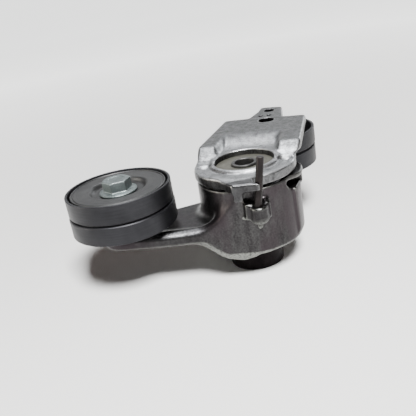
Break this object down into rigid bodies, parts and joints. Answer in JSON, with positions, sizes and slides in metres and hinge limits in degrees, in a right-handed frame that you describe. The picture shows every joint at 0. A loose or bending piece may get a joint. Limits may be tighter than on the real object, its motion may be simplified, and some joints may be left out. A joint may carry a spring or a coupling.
{
  "type": "belt tensioner with idler pulley",
  "caption": "Spring-loaded belt tensioner: cast arm on a drum pivot carries a smooth pulley, and a cast bracket carries a fixed idler, held for fitting by a lock pin.",
  "frame": {"origin": "on the pivot axis, at the foot's face that meets the engine", "axes": "+Z along the pivot axis, from the engine to the bracket; the tension pulley lies at -X when the arm is pinned"},
  "size_m": [0.1983, 0.1663, 0.0933],
  "materials": {
    "cast_aluminium_bracket": "die cast, tumbled",
    "cast_aluminium_arm": "die cast, tumbled",
    "seat_steel": "dull",
    "tube_steel": "dark, turned",
    "black_coating": "matt black",
    "spring_steel": "oiled",
    "friction_nylon": "moulded",
    "bushing_plastic": "moulded",
    "pin_steel": "dark phosphate",
    "phosphated_steel": "satin phosphate",
    "pressed_steel": "satin, pressed",
    "zinc_plating": "zinc flake",
    "bearing_steel": "ground",
    "seal_rubber": "matt",
    "cage_brass": "stamped"
  },
  "bodies": {
    "bracket": {"bracket_plate": "cast_aluminium_bracket", "seat_disc": "seat_steel", "pivot_tube": "tube_steel", "mounting_foot": "black_coating", "torsion_spring": "spring_steel", "damper_shoe": "friction_nylon", "idler_dust_cover": "pressed_steel", "idler_inner_race": "bearing_steel", "idler_spacer": "bearing_steel", "idler_washer": "bearing_steel", "idler_bolt": "zinc_plating"},
    "arm": {"tensioner_arm": "cast_aluminium_arm", "lower_bushing": "bushing_plastic", "upper_bushing": "bushing_plastic", "tension_dust_cover": "pressed_steel", "tension_inner_race": "bearing_steel", "tension_spacer": "bearing_steel", "tension_washer": "bearing_steel", "tension_bolt": "zinc_plating"},
    "tension_pulley": {"tension_pulley": "phosphated_steel", "tension_outer_race": "bearing_steel", "tension_outer_seal": "seal_rubber", "tension_inner_seal": "seal_rubber"},
    "tension_cage": {"tension_cage": "cage_brass", "tension_ball_1": "bearing_steel", "tension_ball_2": "bearing_steel", "tension_ball_3": "bearing_steel", "tension_ball_4": "bearing_steel", "tension_ball_5": "bearing_steel", "tension_ball_6": "bearing_steel", "tension_ball_7": "bearing_steel", "tension_ball_8": "bearing_steel"},
    "idler_pulley": {"idler_pulley": "phosphated_steel", "idler_outer_race": "bearing_steel", "idler_outer_seal": "seal_rubber", "idler_inner_seal": "seal_rubber"},
    "idler_cage": {"idler_cage": "cage_brass", "idler_ball_1": "bearing_steel", "idler_ball_2": "bearing_steel", "idler_ball_3": "bearing_steel", "idler_ball_4": "bearing_steel", "idler_ball_5": "bearing_steel", "idler_ball_6": "bearing_steel", "idler_ball_7": "bearing_steel", "idler_ball_8": "bearing_steel"},
    "lock_pin": {"lock_pin": "pin_steel"}
  },
  "joints": [
    {"name": "arm_swing", "type": "hinge", "parent": "bracket", "child": "arm", "pos_m": [0, 0, 0.045], "axis": [0, 0, 1], "range_deg": [0, 12], "stiffness_Nm_per_rad": 8, "springref_deg": -34.38},
    {"name": "tension_pulley_spin", "type": "hinge", "parent": "arm", "child": "tension_pulley", "pos_m": [-0.091, 0, 0.06235], "axis": [0, 0, 1], "continuous": true},
    {"name": "tension_cage_orbit", "type": "hinge", "parent": "arm", "child": "tension_cage", "pos_m": [-0.091, 0, 0.06235], "axis": [0, 0, 1], "continuous": true},
    {"name": "idler_pulley_spin", "type": "hinge", "parent": "bracket", "child": "idler_pulley", "pos_m": [0.0313, 0.0715, 0.06235], "axis": [0, 0, 1], "continuous": true},
    {"name": "idler_cage_orbit", "type": "hinge", "parent": "bracket", "child": "idler_cage", "pos_m": [0.0313, 0.0715, 0.06235], "axis": [0, 0, 1], "continuous": true},
    {"name": "lock_pin_slide", "type": "slide", "parent": "arm", "child": "lock_pin", "axis": [0.165, 0, 0.9863], "range_m": [0, 0.045]}
  ],
  "couplings": [
    {"joint": "tension_cage_orbit", "follows": "tension_pulley_spin", "ratio": 0.6184},
    {"joint": "idler_cage_orbit", "follows": "idler_pulley_spin", "ratio": 0.6184}
  ]
}
